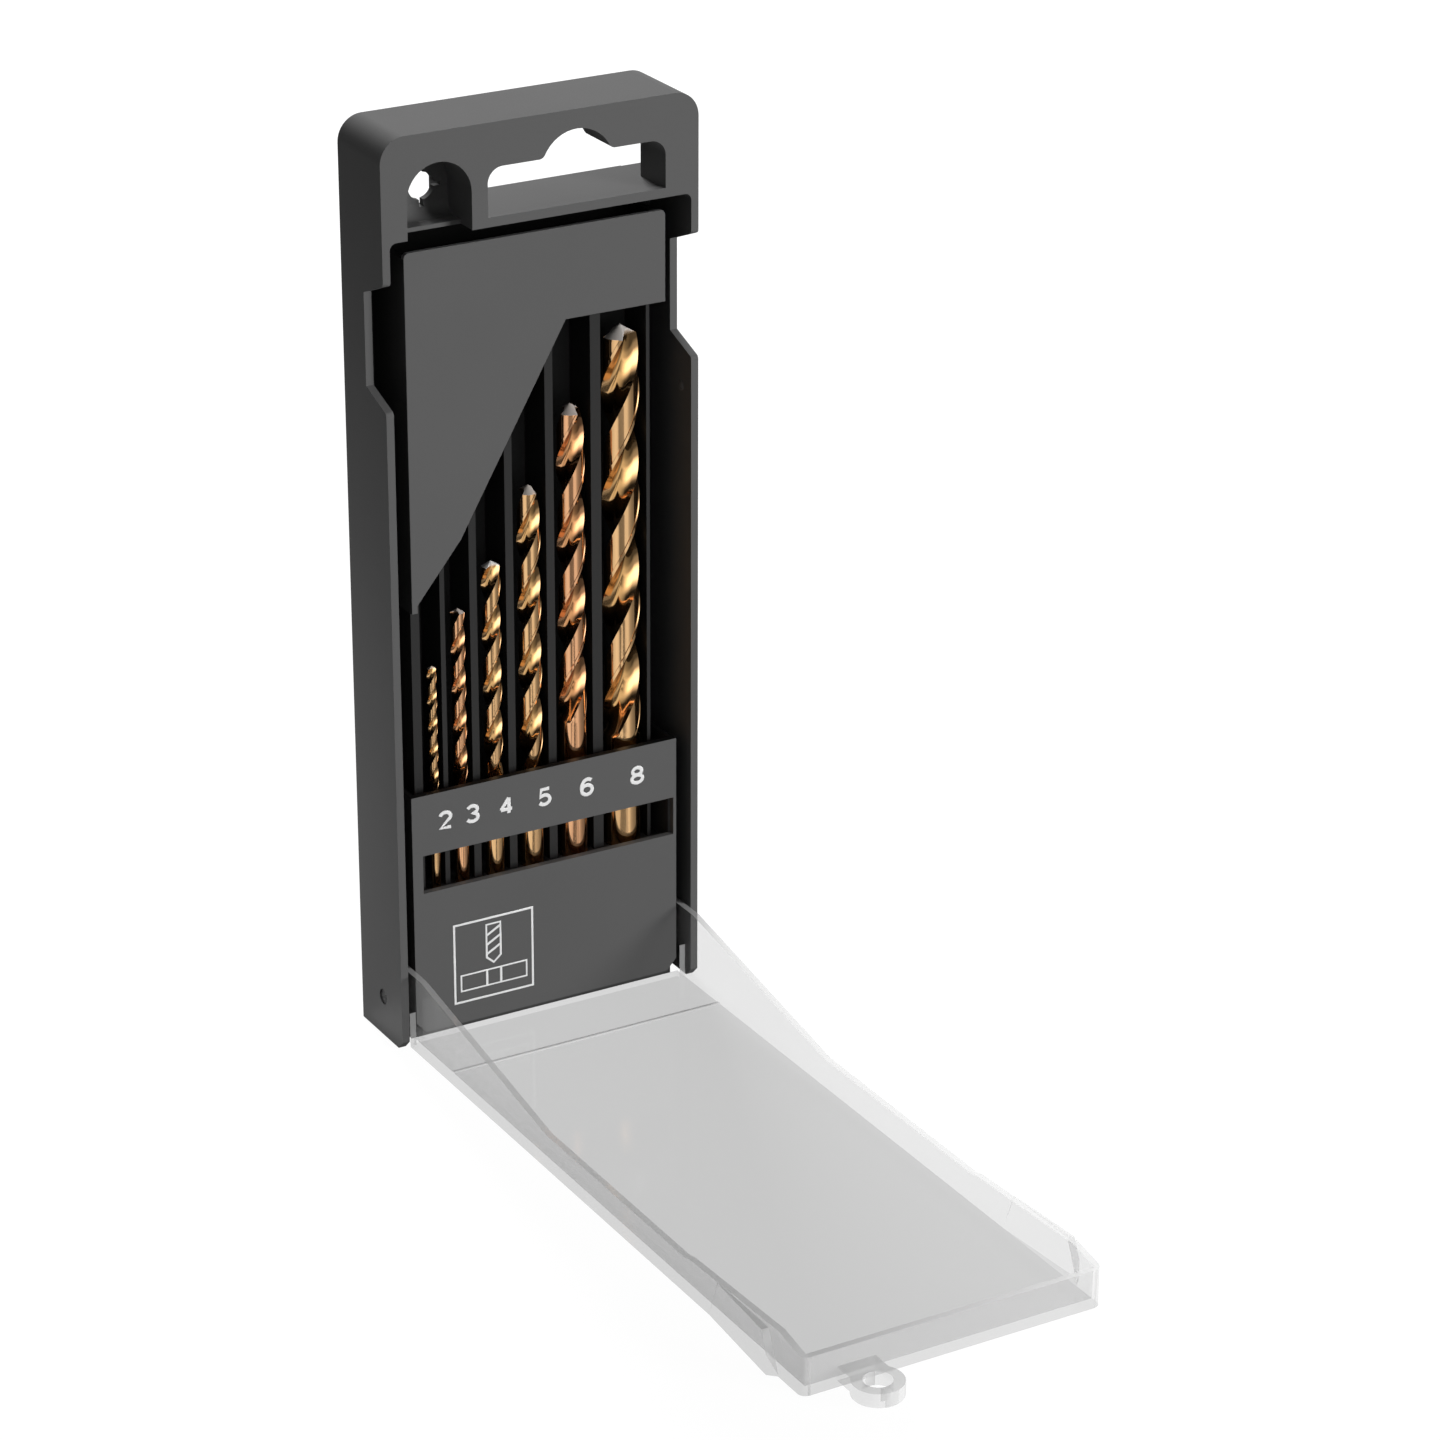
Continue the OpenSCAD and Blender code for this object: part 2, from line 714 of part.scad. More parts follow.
// One ring of the body at height z. The flutes grow out of the round shank over the
// run-out and are cut by the cone of the point.
function ring_r(i, z, a) =
    let (d = drill_d[i], r = d / 2 - body_under, start = drill_len[i] - flute_len[i],
         depth = min(1, max(0, (z - start) / (run_out * d))),
         full = fluted_r(r, web_ratio * d / 2, a - 360 * z / (lead_ratio * d) - drill_turn[i]),
         cone = (drill_len[i] - z) * tan(point_angle / 2) + chisel_half * d)
    min(r + (full - r) * depth, cone);

module fluted_body(i) {
    d = drill_d[i];
    n = sides(i);
    start = drill_len[i] - flute_len[i];
    point_h = (d / 2) / tan(point_angle / 2);
    steps = ceil((flute_len[i] - point_h) / (lead_ratio * d / n));
    heights = concat([start - body_sunk], [for (k = [0 : steps]) start + (flute_len[i] - point_h) * k / steps],
                     [for (k = [1 : 3]) drill_len[i] - point_h * (1 - k / 3)]);
    rings = len(heights);
    points = [for (z = heights) for (k = [0 : n - 1])
        let (a = 360 * k / n, r = ring_r(i, z, a)) [r * cos(a), r * sin(a), z]];
    walls = [for (j = [0 : rings - 2]) for (k = [0 : n - 1])
        let (a = j * n + k, b = j * n + (k + 1) % n) each [[a, a + n, b], [b, a + n, b + n]]];
    bottom = [[for (k = [0 : n - 1]) k]];
    top = [[for (k = [n - 1 : -1 : 0]) (rings - 1) * n + k]];
    polyhedron(points, concat(walls, bottom, top));
}

module drill(i) {
    r = drill_d[i] / 2;
    shank = drill_len[i] - flute_len[i];
    bevel = shank_bevel * drill_d[i];
    color(i % 3 == 1 ? "#a9744a" : "#b08a4d")
    translate([drill_x(i), drill_y(i), socket_floor]) {
        cylinder(r1 = r - bevel, r2 = r, h = bevel);
        translate([0, 0, bevel])
            cylinder(r = r, h = shank - bevel);
        fluted_body(i);
    }
}

case_body();
cover_panel();
drill_holder();
lid();
drill(0);  // drill_2
drill(1);  // drill_3
drill(2);  // drill_4
drill(3);  // drill_5
drill(4);  // drill_6
drill(5);  // drill_8
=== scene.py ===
import math

import bmesh
import bpy
import numpy as np
from mathutils import Matrix, Vector


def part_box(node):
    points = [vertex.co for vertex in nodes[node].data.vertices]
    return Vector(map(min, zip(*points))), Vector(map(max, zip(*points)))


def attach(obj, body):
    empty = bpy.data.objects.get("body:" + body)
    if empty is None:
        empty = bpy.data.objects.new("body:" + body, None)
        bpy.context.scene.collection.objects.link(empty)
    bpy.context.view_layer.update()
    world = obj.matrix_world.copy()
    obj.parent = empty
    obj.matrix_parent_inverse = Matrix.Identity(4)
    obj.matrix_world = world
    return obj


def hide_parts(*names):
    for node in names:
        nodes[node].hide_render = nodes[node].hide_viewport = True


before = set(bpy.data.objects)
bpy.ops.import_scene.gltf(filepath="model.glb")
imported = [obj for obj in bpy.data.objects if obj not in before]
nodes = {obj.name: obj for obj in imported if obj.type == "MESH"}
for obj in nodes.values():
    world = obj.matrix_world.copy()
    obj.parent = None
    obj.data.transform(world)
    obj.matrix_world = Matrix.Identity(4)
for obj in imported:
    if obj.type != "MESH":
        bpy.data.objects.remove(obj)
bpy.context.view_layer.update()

print("stage: frame loaded")

# Sizes are in metres, in the frame of the solids: +X right, +Y to the back, +Z up.
mm = 0.001
caseLow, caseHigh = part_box("case_body")
holderLow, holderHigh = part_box("drill_holder")
lidLow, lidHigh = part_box("lid")


def linear(hexColour):
    # sRGB to linear light: c/12.92 below 0.04045, otherwise ((c + 0.055)/1.055)^2.4
    channels = [int(hexColour[i:i + 2], 16) / 255 for i in (1, 3, 5)]
    return [c / 12.92 if c <= 0.04045 else ((c + 0.055) / 1.055) ** 2.4 for c in channels] + [1]


def addNode(tree, kind, values=None, **settings):
    node = tree.nodes.new(kind)
    for name, value in settings.items():
        setattr(node, name, value)
    for name, value in (values or {}).items():
        if isinstance(value, bpy.types.NodeSocket):
            tree.links.new(value, node.inputs[name])
        else:
            node.inputs[name].default_value = value
    return node


def newMaterial(name):
    material = bpy.data.materials.new(name)
    material.use_nodes = True
    tree = material.node_tree
    tree.nodes.clear()
    return material, tree


def finishMaterial(tree, shader):
    addNode(tree, "ShaderNodeOutputMaterial", {"Surface": shader.outputs[0]})


def placeObject(name, mesh, *materials):
    piece = bpy.data.objects.new(name, mesh)
    bpy.context.scene.collection.objects.link(piece)
    mesh.materials.clear()
    for material in materials:
        mesh.materials.append(material)
    return piece


def newAttribute(mesh, name, kind, domain, values):
    attribute = mesh.attributes.new(name, kind, domain)
    key = "vector" if kind == "FLOAT_VECTOR" else "value"
    attribute.data.foreach_set(key, values.astype(np.float32).ravel())


def faceValues(mesh, key, width=1):
    # One value, or a row of them, for each face.
    values = np.empty(len(mesh.polygons) * width, dtype=np.float32)
    mesh.polygons.foreach_get(key, values)
    return values.astype(float) if width == 1 else values.astype(float).reshape(-1, width)


def mouldedPlastic(name, hexLow, hexHigh, grain):
    # Dark polypropylene out of a finely eroded mould: matte, with a faint cloud of
    # tone a few centimetres wide and a grain a third of a millimetre wide. Faces deep
    # in the case are painted darker, blended towards near-black by a per-face attribute: painted shade.
    material, tree = newMaterial(name)
    place = addNode(tree, "ShaderNodeTexCoord").outputs["Object"]
    cloud = addNode(tree, "ShaderNodeTexNoise", {"Vector": place, "Scale": 45.0, "Detail": 3.0})
    surface = addNode(tree, "ShaderNodeMix", {"Factor": cloud.outputs["Fac"], "A": linear(hexLow),
                                              "B": linear(hexHigh)}, data_type="RGBA")
    # Painted shade: the near-black #080808 stands for the shade deep in the recess.
    recessShade = addNode(tree, "ShaderNodeAttribute", attribute_name="recessShade")
    tone = addNode(tree, "ShaderNodeMix", {"Factor": recessShade.outputs["Fac"],
                                           "A": surface.outputs["Result"], "B": linear("#080808")},
                   data_type="RGBA")
    speck = addNode(tree, "ShaderNodeTexNoise", {"Vector": place, "Scale": 3000.0, "Detail": 2.0})
    rough = addNode(tree, "ShaderNodeMapRange", {"Value": speck.outputs["Fac"], "To Min": 0.46,
                                                 "To Max": 0.58})
    bump = addNode(tree, "ShaderNodeBump", {"Height": speck.outputs["Fac"], "Strength": grain,
                                            "Distance": 0.05 * mm})
    shader = addNode(tree, "ShaderNodeBsdfPrincipled", {
        "Base Color": tone.outputs["Result"], "Roughness": rough.outputs["Result"],
        "Normal": bump.outputs["Normal"], "Specular IOR Level": 0.22})
    finishMaterial(tree, shader)
    return material


def clearPlastic(name, hexTint, alpha):
    # Clear polystyrene: mostly see-through, with a smooth gloss, slightly wavy as
    # thin injection-moulded walls are.
    material, tree = newMaterial(name)
    place = addNode(tree, "ShaderNodeTexCoord").outputs["Object"]
    wave = addNode(tree, "ShaderNodeTexNoise", {"Vector": place, "Scale": 30.0, "Detail": 1.0})
    bump = addNode(tree, "ShaderNodeBump", {"Height": wave.outputs["Fac"], "Strength": 0.15,
                                            "Distance": 0.3 * mm})
    shader = addNode(tree, "ShaderNodeBsdfPrincipled", {
        "Base Color": linear(hexTint), "Roughness": 0.08, "Alpha": alpha,
        "Normal": bump.outputs["Normal"], "IOR": 1.5})
    finishMaterial(tree, shader)
    return material


def coatedSteel(name, hexBright, hexFluteShade):
    # High-speed steel, ground and then coated: fine grinding lines along the attribute
    # "grain", a darker tone down in the flutes that paints the flutes' shade, and bare steel
    # where the attribute "ground" marks a point that was sharpened after the coating, made
    # whiter than bare steel as a painted highlight on the tip.
    material, tree = newMaterial(name)
    grain = addNode(tree, "ShaderNodeAttribute", attribute_name="grain")
    depth = addNode(tree, "ShaderNodeAttribute", attribute_name="fluteDepth")
    lines = addNode(tree, "ShaderNodeTexNoise", {"Vector": grain.outputs["Vector"], "Scale": 1.0,
                                                 "Detail": 3.0})
    coatAndFluteShade = addNode(tree, "ShaderNodeMix", {"Factor": depth.outputs["Fac"], "A": linear(hexBright),
                                           "B": linear(hexFluteShade)}, data_type="RGBA")
    ground = addNode(tree, "ShaderNodeAttribute", attribute_name="ground")
    tone = addNode(tree, "ShaderNodeMix", {"Factor": ground.outputs["Fac"], "A": coatAndFluteShade.outputs["Result"],
                                           "B": linear("#efeeec")}, data_type="RGBA")
    # Ground steel scatters light off its scratches, which a lower metallic share stands for; with the
    # near-white tone it also paints a highlight on the tip.
    metal = addNode(tree, "ShaderNodeMapRange", {"Value": ground.outputs["Fac"], "To Min": 1.0,
                                                 "To Max": 0.2})
    rough = addNode(tree, "ShaderNodeMapRange", {"Value": lines.outputs["Fac"], "To Min": 0.07,
                                                 "To Max": 0.15})
    bump = addNode(tree, "ShaderNodeBump", {"Height": lines.outputs["Fac"], "Strength": 0.05,
                                            "Distance": 0.01 * mm})
    shader = addNode(tree, "ShaderNodeBsdfPrincipled", {
        "Base Color": tone.outputs["Result"], "Metallic": metal.outputs["Result"],
        "Roughness": rough.outputs["Result"], "Normal": bump.outputs["Normal"]})
    finishMaterial(tree, shader)
    return material


def printedInk(name, hexColour):
    # White pad-printing ink, a little uneven where it took less well.
    material, tree = newMaterial(name)
    place = addNode(tree, "ShaderNodeTexCoord").outputs["Object"]
    blot = addNode(tree, "ShaderNodeTexNoise", {"Vector": place, "Scale": 1500.0, "Detail": 2.0})
    tone = addNode(tree, "ShaderNodeMix", {"Factor": blot.outputs["Fac"], "A": linear(hexColour),
                                           "B": linear("#e4e4e4")}, data_type="RGBA")
    shader = addNode(tree, "ShaderNodeBsdfPrincipled", {"Base Color": tone.outputs["Result"],
                                                        "Roughness": 0.5})
    finishMaterial(tree, shader)
    return material


darkPlastic = mouldedPlastic("darkPolypropylene", "#5a5a5a", "#5e5e5e", 0.35)
holderPlastic = mouldedPlastic("holderPolypropylene", "#585858", "#5c5c5c", 0.35)
# One clear polystyrene in three copies: the lying panel darker, painted shade against the strong light
# from above; the walls paler, and their tops and rear ends paler and more opaque still, a painted
# highlight where edges catch the light.
lidPanel = clearPlastic("clearPolystyrenePanel", "#606060", 0.25)
lidWall = clearPlastic("clearPolystyreneWall", "#d0d0d0", 0.14)
lidEdgeHighlight = clearPlastic("clearPolystyreneEdgeHighlight", "#d2d2d2", 0.5)
# The second colour of each steel is the painted shade down in the flutes.
goldSteel = coatedSteel("goldCoatedSteel", "#e2b683", "#d3a56b")
copperSteel = coatedSteel("copperGoldCoatedSteel", "#e2ab7f", "#cf9563")
whiteInk = printedInk("whitePrintingInk", "#f4f4f4")
print("stage: materials")


# Sizes of the moulded pieces: how far each edge is rounded, and what it is made of.
mouldings = {
    "case_body": dict(name="caseShell", edge=0.35 * mm, body="case", slot="case_plastic",
                      materials=[darkPlastic]),
    "cover_panel": dict(name="coverPanel", edge=0.25 * mm, body="case", slot="panel_plastic",
                        materials=[darkPlastic]),
    "drill_holder": dict(name="drillHolder", edge=0.25 * mm, body="case", slot="holder_plastic",
                         materials=[holderPlastic]),
    "lid": dict(name="clearLid", edge=0.3 * mm, body="lid", slot="clear_plastic",
                materials=[lidPanel, lidWall, lidEdgeHighlight]),
}
# Edges from leastAngle on are rounded, and faces that differ by less than flat are joined first.
rounding = dict(segments=3, leastAngle=28, joined=0.002 * mm, flat=0.5)  # angles in degrees


def softened(node, values):
    # A copy of the node's solid with its edges rounded, as a mould leaves them.
    mesh = nodes[node].data.copy()
    form = bmesh.new()
    form.from_mesh(mesh)
    bmesh.ops.remove_doubles(form, verts=form.verts, dist=rounding["joined"])
    bmesh.ops.dissolve_limit(form, angle_limit=math.radians(rounding["flat"]), verts=form.verts,
                             edges=form.edges)
    form.to_mesh(mesh)
    form.free()
    piece = placeObject(values["name"], mesh, *values["materials"])
    bevel = piece.modifiers.new("roundedEdges", "BEVEL")
    bevel.width = values["edge"]
    bevel.segments = rounding["segments"]
    bevel.limit_method = "ANGLE"
    bevel.angle_limit = math.radians(rounding["leastAngle"])
    # Shading follows the large faces, so that they stay flat to the eye.
    flats = piece.modifiers.new("flatFaces", "WEIGHTED_NORMAL")
    flats.mode = "FACE_AREA"
    flats.keep_sharp = True
    mesh.shade_smooth()
    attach(piece, values["body"])
    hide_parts(node)
    return piece


# Where painted shade darkens the case inside: from the depth `light` behind the front rim
# to `black`, between the side walls with their latch nubs, over the ground and under the head.
recessShadeZone = dict(wall=2.35 * mm, ground=0.2 * mm, head=179.05 * mm, light=4 * mm, black=12 * mm,
                  curve=0.27)


def paintRecessShade(piece):
    # Painted shade: the share of the way from `light` to `black`, to the power `curve`.
    # Faces that look back are outer faces and stay 0.
    centre = faceValues(piece.data, "center", 3)
    normal = faceValues(piece.data, "normal", 3)
    light, black = recessShadeZone["light"], recessShadeZone["black"]
    share = np.clip((centre[:, 1] - caseLow.y - light) / (black - light), 0, 1) ** recessShadeZone["curve"]
    isIn = np.abs(centre[:, 0]) < caseHigh.x - recessShadeZone["wall"]
    isIn &= (centre[:, 2] > recessShadeZone["ground"]) & (centre[:, 2] < recessShadeZone["head"])
    isIn &= normal[:, 1] < 0.5
    newAttribute(piece.data, "recessShade", "FLOAT", "FACE", isIn * share)


# Faces of the lid above the foot are walls, and small ones across them are their ends.
lidFaces = dict(foot=1.5 * mm, largestEnd=40 * mm * mm)


def sortLidFaces(piece):
    # The panel, the walls, and the wall tops and rear ends, which take the paler, more opaque copy of the
    # clear plastic as a painted highlight.
    centre = faceValues(piece.data, "center", 3)
    normal = faceValues(piece.data, "normal", 3)
    isHigh = centre[:, 2] > lidFaces["foot"]
    isSmall = faceValues(piece.data, "area") < lidFaces["largestEnd"]
    isTop = isHigh & (normal[:, 2] > 0.3)
    isEnd = isHigh & isSmall & (np.abs(normal[:, 1]) > 0.95)
    isPanel = ~isHigh & (np.abs(normal[:, 2]) > 0.9)
    choice = np.select([isTop | isEnd, isPanel], [2, 0], 1)
    piece.data.polygons.foreach_set("material_index", choice.astype(np.int32))


for node, values in mouldings.items():
    piece = softened(node, values)
    if node == "lid":
        sortLidFaces(piece)
    else:
        paintRecessShade(piece)
print("stage: moulded pieces")


# The six drills: the length with flutes in mm, the turn of the first lip in degrees, how
# bare the sharpened point is, raised past bare steel as a painted highlight on the tip, and how fine the
# section is.
drills = {
    "drill_2": dict(fluteLength=31.0, turn=20, bareAndGlint=0.5, fineness=48, material=goldSteel,
                    slot="coated_steel"),
    "drill_3": dict(fluteLength=40.5, turn=80, bareAndGlint=0.7, fineness=56, material=copperSteel,
                    slot="copper_toned_steel"),
    "drill_4": dict(fluteLength=49.5, turn=35, bareAndGlint=1.0, fineness=64, material=goldSteel,
                    slot="coated_steel"),
    "drill_5": dict(fluteLength=65.5, turn=60, bareAndGlint=0.75, fineness=64, material=goldSteel,
                    slot="coated_steel"),
    "drill_6": dict(fluteLength=71.0, turn=-57, bareAndGlint=0.75, fineness=72, material=copperSteel,
                    slot="copper_toned_steel"),
    "drill_8": dict(fluteLength=92.0, turn=-62, bareAndGlint=0.85, fineness=80, material=goldSteel,
                    slot="coated_steel"),
}
# The section in parts of the radius and in degrees, and the lead in diameters.
section = dict(web=0.34, flute=108.0, deepest=40.0, margin=10.0, clearance=0.95, leadRatio=6.0)
# The body: the chamfer at its foot and the flutes' run-out in radii, and rings for each lead.
shaft = dict(chamfer=0.12, runOut=1.8, runOutCurve=0.6, rings=56)
# The point: half its angle in degrees, the drop behind each lip in radii, its rings, and its share of the
# painted flute shade.
drillPoint = dict(halfAngle=59, relief=0.1, rings=(1.0, 0.8, 0.55, 0.3, 0.12), depth=0.2)
grinding = dict(across=0.12 * mm, along=6 * mm)
sharpEdge = 38  # degrees


def sectionRadius(angle):
    # Radius over the angle from a lip, for a body of radius 1, which repeats each half
    # turn. From the lip on comes the flute, a round groove with its centre at
    # c = (1 - web^2) / (2 cos(flute / 2) - 2 web) and the radius c - web, turned q from
    # its deepest place: r = c cos q - sqrt((c - web)^2 - (c sin q)^2). Then come the
    # heel, the relieved land and, before the next lip, the margin.
    a = np.mod(angle, 180.0)
    web, flute, deepest = section["web"], section["flute"], section["deepest"]
    centre = (1 - web ** 2) / (2 * math.cos(math.radians(flute / 2)) - 2 * web)
    share = np.where(a < deepest, (a - deepest) / deepest, (a - deepest) / (flute - deepest))
    q = np.radians(np.clip(share, -1, 1) * flute / 2)
    groove = centre * np.cos(q) - np.sqrt(np.maximum((centre - web) ** 2 - (centre * np.sin(q)) ** 2, 0))
    groove = np.minimum(groove, np.where(a < deepest, 1.0, section["clearance"]))
    land = np.where(a > 180 - section["margin"], 1.0, section["clearance"])
    return np.where(a < flute, groove, land)


def sectionAngles(fineness):
    # In each half turn a third of the fineness goes to the flute and an eighth to the
    # land, and the margin has a close pair at its edge.
    edge = 180 - section["margin"]
    flute = np.linspace(0.0, section["flute"], fineness // 3, endpoint=False)
    land = np.linspace(section["flute"], edge - 0.8, fineness // 8, endpoint=False)
    margin = [edge - 0.8, edge + 0.4, 180 - section["margin"] / 2, 179.4]
    half = np.concatenate([flute, land, margin])
    return np.concatenate([half, half + 180])


def helixGrid(ring, turn, z, radius):
    # Points at the radius ring * radius, turned by the angle in degrees, at the height z.
    turn = np.radians(turn)
    return np.stack([radius * ring * np.cos(turn), radius * ring * np.sin(turn),
                     np.broadcast_to(z, turn.shape)], axis=-1)


def ringFaces(rings, count):
    # Quads between neighbouring rings, then a fan to the tip and one to the foot, which
    # are the last two points.
    k = np.arange(count)
    after = (k + 1) % count
    row = np.arange(rings - 1)[:, None] * count
    quads = np.stack([row + k, row + after, row + after + count, row + k + count], axis=-1)
    last, tip = (rings - 1) * count, rings * count
    top = np.stack([last + k, last + after, np.full(count, tip)], axis=-1)
    foot = np.stack([after, k, np.full(count, tip + 1)], axis=-1)
    return quads.reshape(-1, 4).tolist() + top.tolist() + foot.tolist()


def makeDrill(node, values):
    low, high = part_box(node)
    radius = (high.x - low.x) / 2
    length = high.z - low.z
    axis = np.array([(low.x + high.x) / 2, (low.y + high.y) / 2, low.z])
    fluteLength = values["fluteLength"] * mm
    lead = section["leadRatio"] * 2 * radius
    slope = math.tan(math.radians(drillPoint["halfAngle"]))
    start = length - fluteLength
    chamfer = shaft["chamfer"] * radius
    angles = sectionAngles(values["fineness"])
    full = sectionRadius(angles)
    count = len(angles)

    # The body: the section grows out of the round shank, and turns with the height.
    shank = [0.0, chamfer, start * 0.5, start - 0.01 * mm]
    steps = int(fluteLength / (lead / shaft["rings"]))
    heights = np.concatenate([shank, np.linspace(start, length - radius / slope, steps)])[:, None]
    grown = np.clip((heights - start) / (shaft["runOut"] * radius), 0, 1) ** shaft["runOutCurve"]
    ring = 1 + (full - 1) * grown
    ring = np.where(heights < chamfer, ring * (1 - shaft["chamfer"]), ring)
    turn = angles + values["turn"] + 360 * np.maximum(heights - start, 0) / lead
    bodyGrid = helixGrid(ring, turn, heights, radius)
    # How deep each body point lies in a flute, which sets its painted flute shade.
    depths = np.clip((section["clearance"] - ring) / (section["clearance"] - section["web"]), 0, 1)

    # The point: every section point runs up a cone, a little lower behind each lip.
    ring = full * np.array(drillPoint["rings"])[:, None]
    relief = drillPoint["relief"] * radius * np.mod(-angles, 180.0) / 180 * ring
    z = length - radius * ring / slope - relief
    turn = angles + values["turn"] + 360 * (z - start) / lead
    pointGrid = helixGrid(ring, turn, z, radius)

    grid = np.concatenate([bodyGrid, pointGrid])
    places = np.concatenate([grid.reshape(-1, 3), [[0, 0, length], [0, 0, 0]]])
    mesh = bpy.data.meshes.new("twist" + node.replace("_", "").capitalize())
    mesh.from_pydata((places + axis).tolist(), [], ringFaces(len(grid), count))
    mesh.validate()
    mesh.update()
    piece = placeObject(mesh.name, mesh, values["material"])
    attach(piece, node)

    # Grinding lines: fine across, long along the helix (or along the axis on the shank).
    z = places[:, 2]
    polar = np.arctan2(places[:, 1], places[:, 0]) - np.radians(360 * np.maximum(z - start, 0) / lead)
    grain = np.stack([np.cos(polar) * radius / grinding["across"],
                      np.sin(polar) * radius / grinding["across"], z / grinding["along"]], axis=1)
    newAttribute(mesh, "grain", "FLOAT_VECTOR", "POINT", grain)
    pointDepths = np.full(len(drillPoint["rings"]) * count + 1, drillPoint["depth"])
    depths = np.concatenate([depths.ravel(), pointDepths, [0.0]])
    newAttribute(mesh, "fluteDepth", "FLOAT", "POINT", depths)
    # The point's bare steel, raised as a painted highlight on the tip.
    ground = np.where(np.arange(len(places)) >= len(heights) * count, values["bareAndGlint"], 0.0)
    ground[-1] = 0.0
    newAttribute(mesh, "ground", "FLOAT", "POINT", ground)
    mesh.shade_smooth()
    form = bmesh.new()
    form.from_mesh(mesh)
    for edge in form.edges:
        if len(edge.link_faces) == 2 and edge.calc_face_angle(0) > math.radians(sharpEdge):
            edge.smooth = False
    form.to_mesh(mesh)
    form.free()
    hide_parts(node)


for node, values in drills.items():
    makeDrill(node, values)
print("stage: drills")


# The print on the holder's front.
inkThickness = 0.02 * mm
numerals = dict(height=3.55 * mm, width=2.6 * mm, middle=50.7 * mm, line=0.9 * mm)
arcPoints = 14


def arc(x, z, rx, rz, first, last):
    # Points on an ellipse, in X and Z, from one angle to another in degrees.
    angles = np.radians(np.linspace(first, last, arcPoints))
    return [(x + rx * math.cos(a), z + rz * math.sin(a)) for a in angles]


# Each numeral's strokes in a box one wide and one high.
strokes = {
    "2": [arc(0.5, 0.72, 0.47, 0.28, 165, -28) + [(0.04, 0.0), (1.0, 0.0)]],
    "3": [arc(0.48, 0.76, 0.45, 0.24, 155, -90) + arc(0.48, 0.26, 0.5, 0.26, 90, -155)],
    "4": [[(0.72, 0.0), (0.72, 1.0)], [(0.72, 1.0), (0.0, 0.27)], [(0.0, 0.27), (1.02, 0.27)]],
    "5": [[(0.94, 1.0), (0.2, 1.0), (0.1, 0.5)] + arc(0.48, 0.31, 0.5, 0.31, 130, -150)],
    "6": [arc(0.5, 0.31, 0.49, 0.31, 0, 360), arc(0.56, 0.5, 0.56, 0.5, 52, 180) + [(0.01, 0.31)]],
    "8": [arc(0.5, 0.76, 0.43, 0.24, 0, 360), arc(0.5, 0.26, 0.5, 0.26, 0, 360)],
}


def inkDrawing(name, routes, width):
    # Flat ribbons of ink on the holder's front, along routes given in X and Z.
    curve = bpy.data.curves.new(name, "CURVE")
    curve.dimensions = "3D"
    curve.bevel_depth = width / 2
    curve.bevel_resolution = 2
    curve.use_fill_caps = True
    for route in routes:
        closed = math.dist(route[0], route[-1]) < 1e-9
        spline = curve.splines.new("POLY")
        spline.points.add(len(route) - 1 - closed)
        for point, (x, z) in zip(spline.points, route):
            point.co = (x, 0, z, 1)
        spline.use_cyclic_u = closed
    source = bpy.data.objects.new(name, curve)
    bpy.context.scene.collection.objects.link(source)
    bpy.context.view_layer.update()
    graph = bpy.context.evaluated_depsgraph_get()
    mesh = bpy.data.meshes.new_from_object(source.evaluated_get(graph))
    bpy.data.objects.remove(source)
    mesh.transform(Matrix.Diagonal((1, 2 * inkThickness / width, 1, 1)))
    mesh.transform(Matrix.Translation((0, holderLow.y, 0)))
    piece = placeObject(name, mesh, whiteInk)
    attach(piece, "case")


def makeNumeral(text, x):
    w, h = numerals["width"], numerals["height"]
    low = numerals["middle"] - h / 2
    routes = [[(x + (u - 0.5) * w, low + v * h) for u, v in route] for route in strokes[text]]
    inkDrawing("numeral" + text, routes, numerals["line"])


for node in drills:
    low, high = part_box(node)
    makeNumeral(node[-1], (low.x + high.x) / 2)


# A framed line drawing: a drill standing over a flat bar with a hole in it.
sign = dict(left=-22.4 * mm, right=-3.7 * mm, low=7.1 * mm, high=25.5 * mm, line=0.74 * mm)


def makeSign():
    left, right, low, high = sign["left"], sign["right"], sign["low"], sign["high"]
    thin = 0.75 * sign["line"]

    def at(*places):
        return [(left + u * (right - left), low + v * (high - low)) for u, v in places]

    inkDrawing("signFrame", [at((0, 0), (1, 0), (1, 1), (0, 1), (0, 0))], sign["line"])
    bar = at((0.08, 0.14), (0.92, 0.14), (0.92, 0.34), (0.08, 0.34), (0.08, 0.14))
    hole = [at((u, 0.14), (u, 0.34)) for u in (0.41, 0.59)]
    inkDrawing("signBar", [bar] + hole, thin)
    body = at((0.5, 0.42), (0.41, 0.5), (0.41, 0.92), (0.59, 0.92), (0.59, 0.5), (0.5, 0.42))
    turns = [at((0.41, v), (0.59, v + 0.1)) for v in (0.54, 0.66, 0.78)]
    inkDrawing("signDrill", [body] + turns, thin)


makeSign()
print("stage: print")


# How bright the even light round the object is, the floor in itself, and how far the floor
# reaches. The card lies beside the lid and is seen only in reflections.
studio = dict(fill=0.09, floor=0.97, reach=12.0, floorTone="#404040")
card = dict(left=34 * mm, right=2 * mm, front=20 * mm, back=10 * mm, level=1.0)
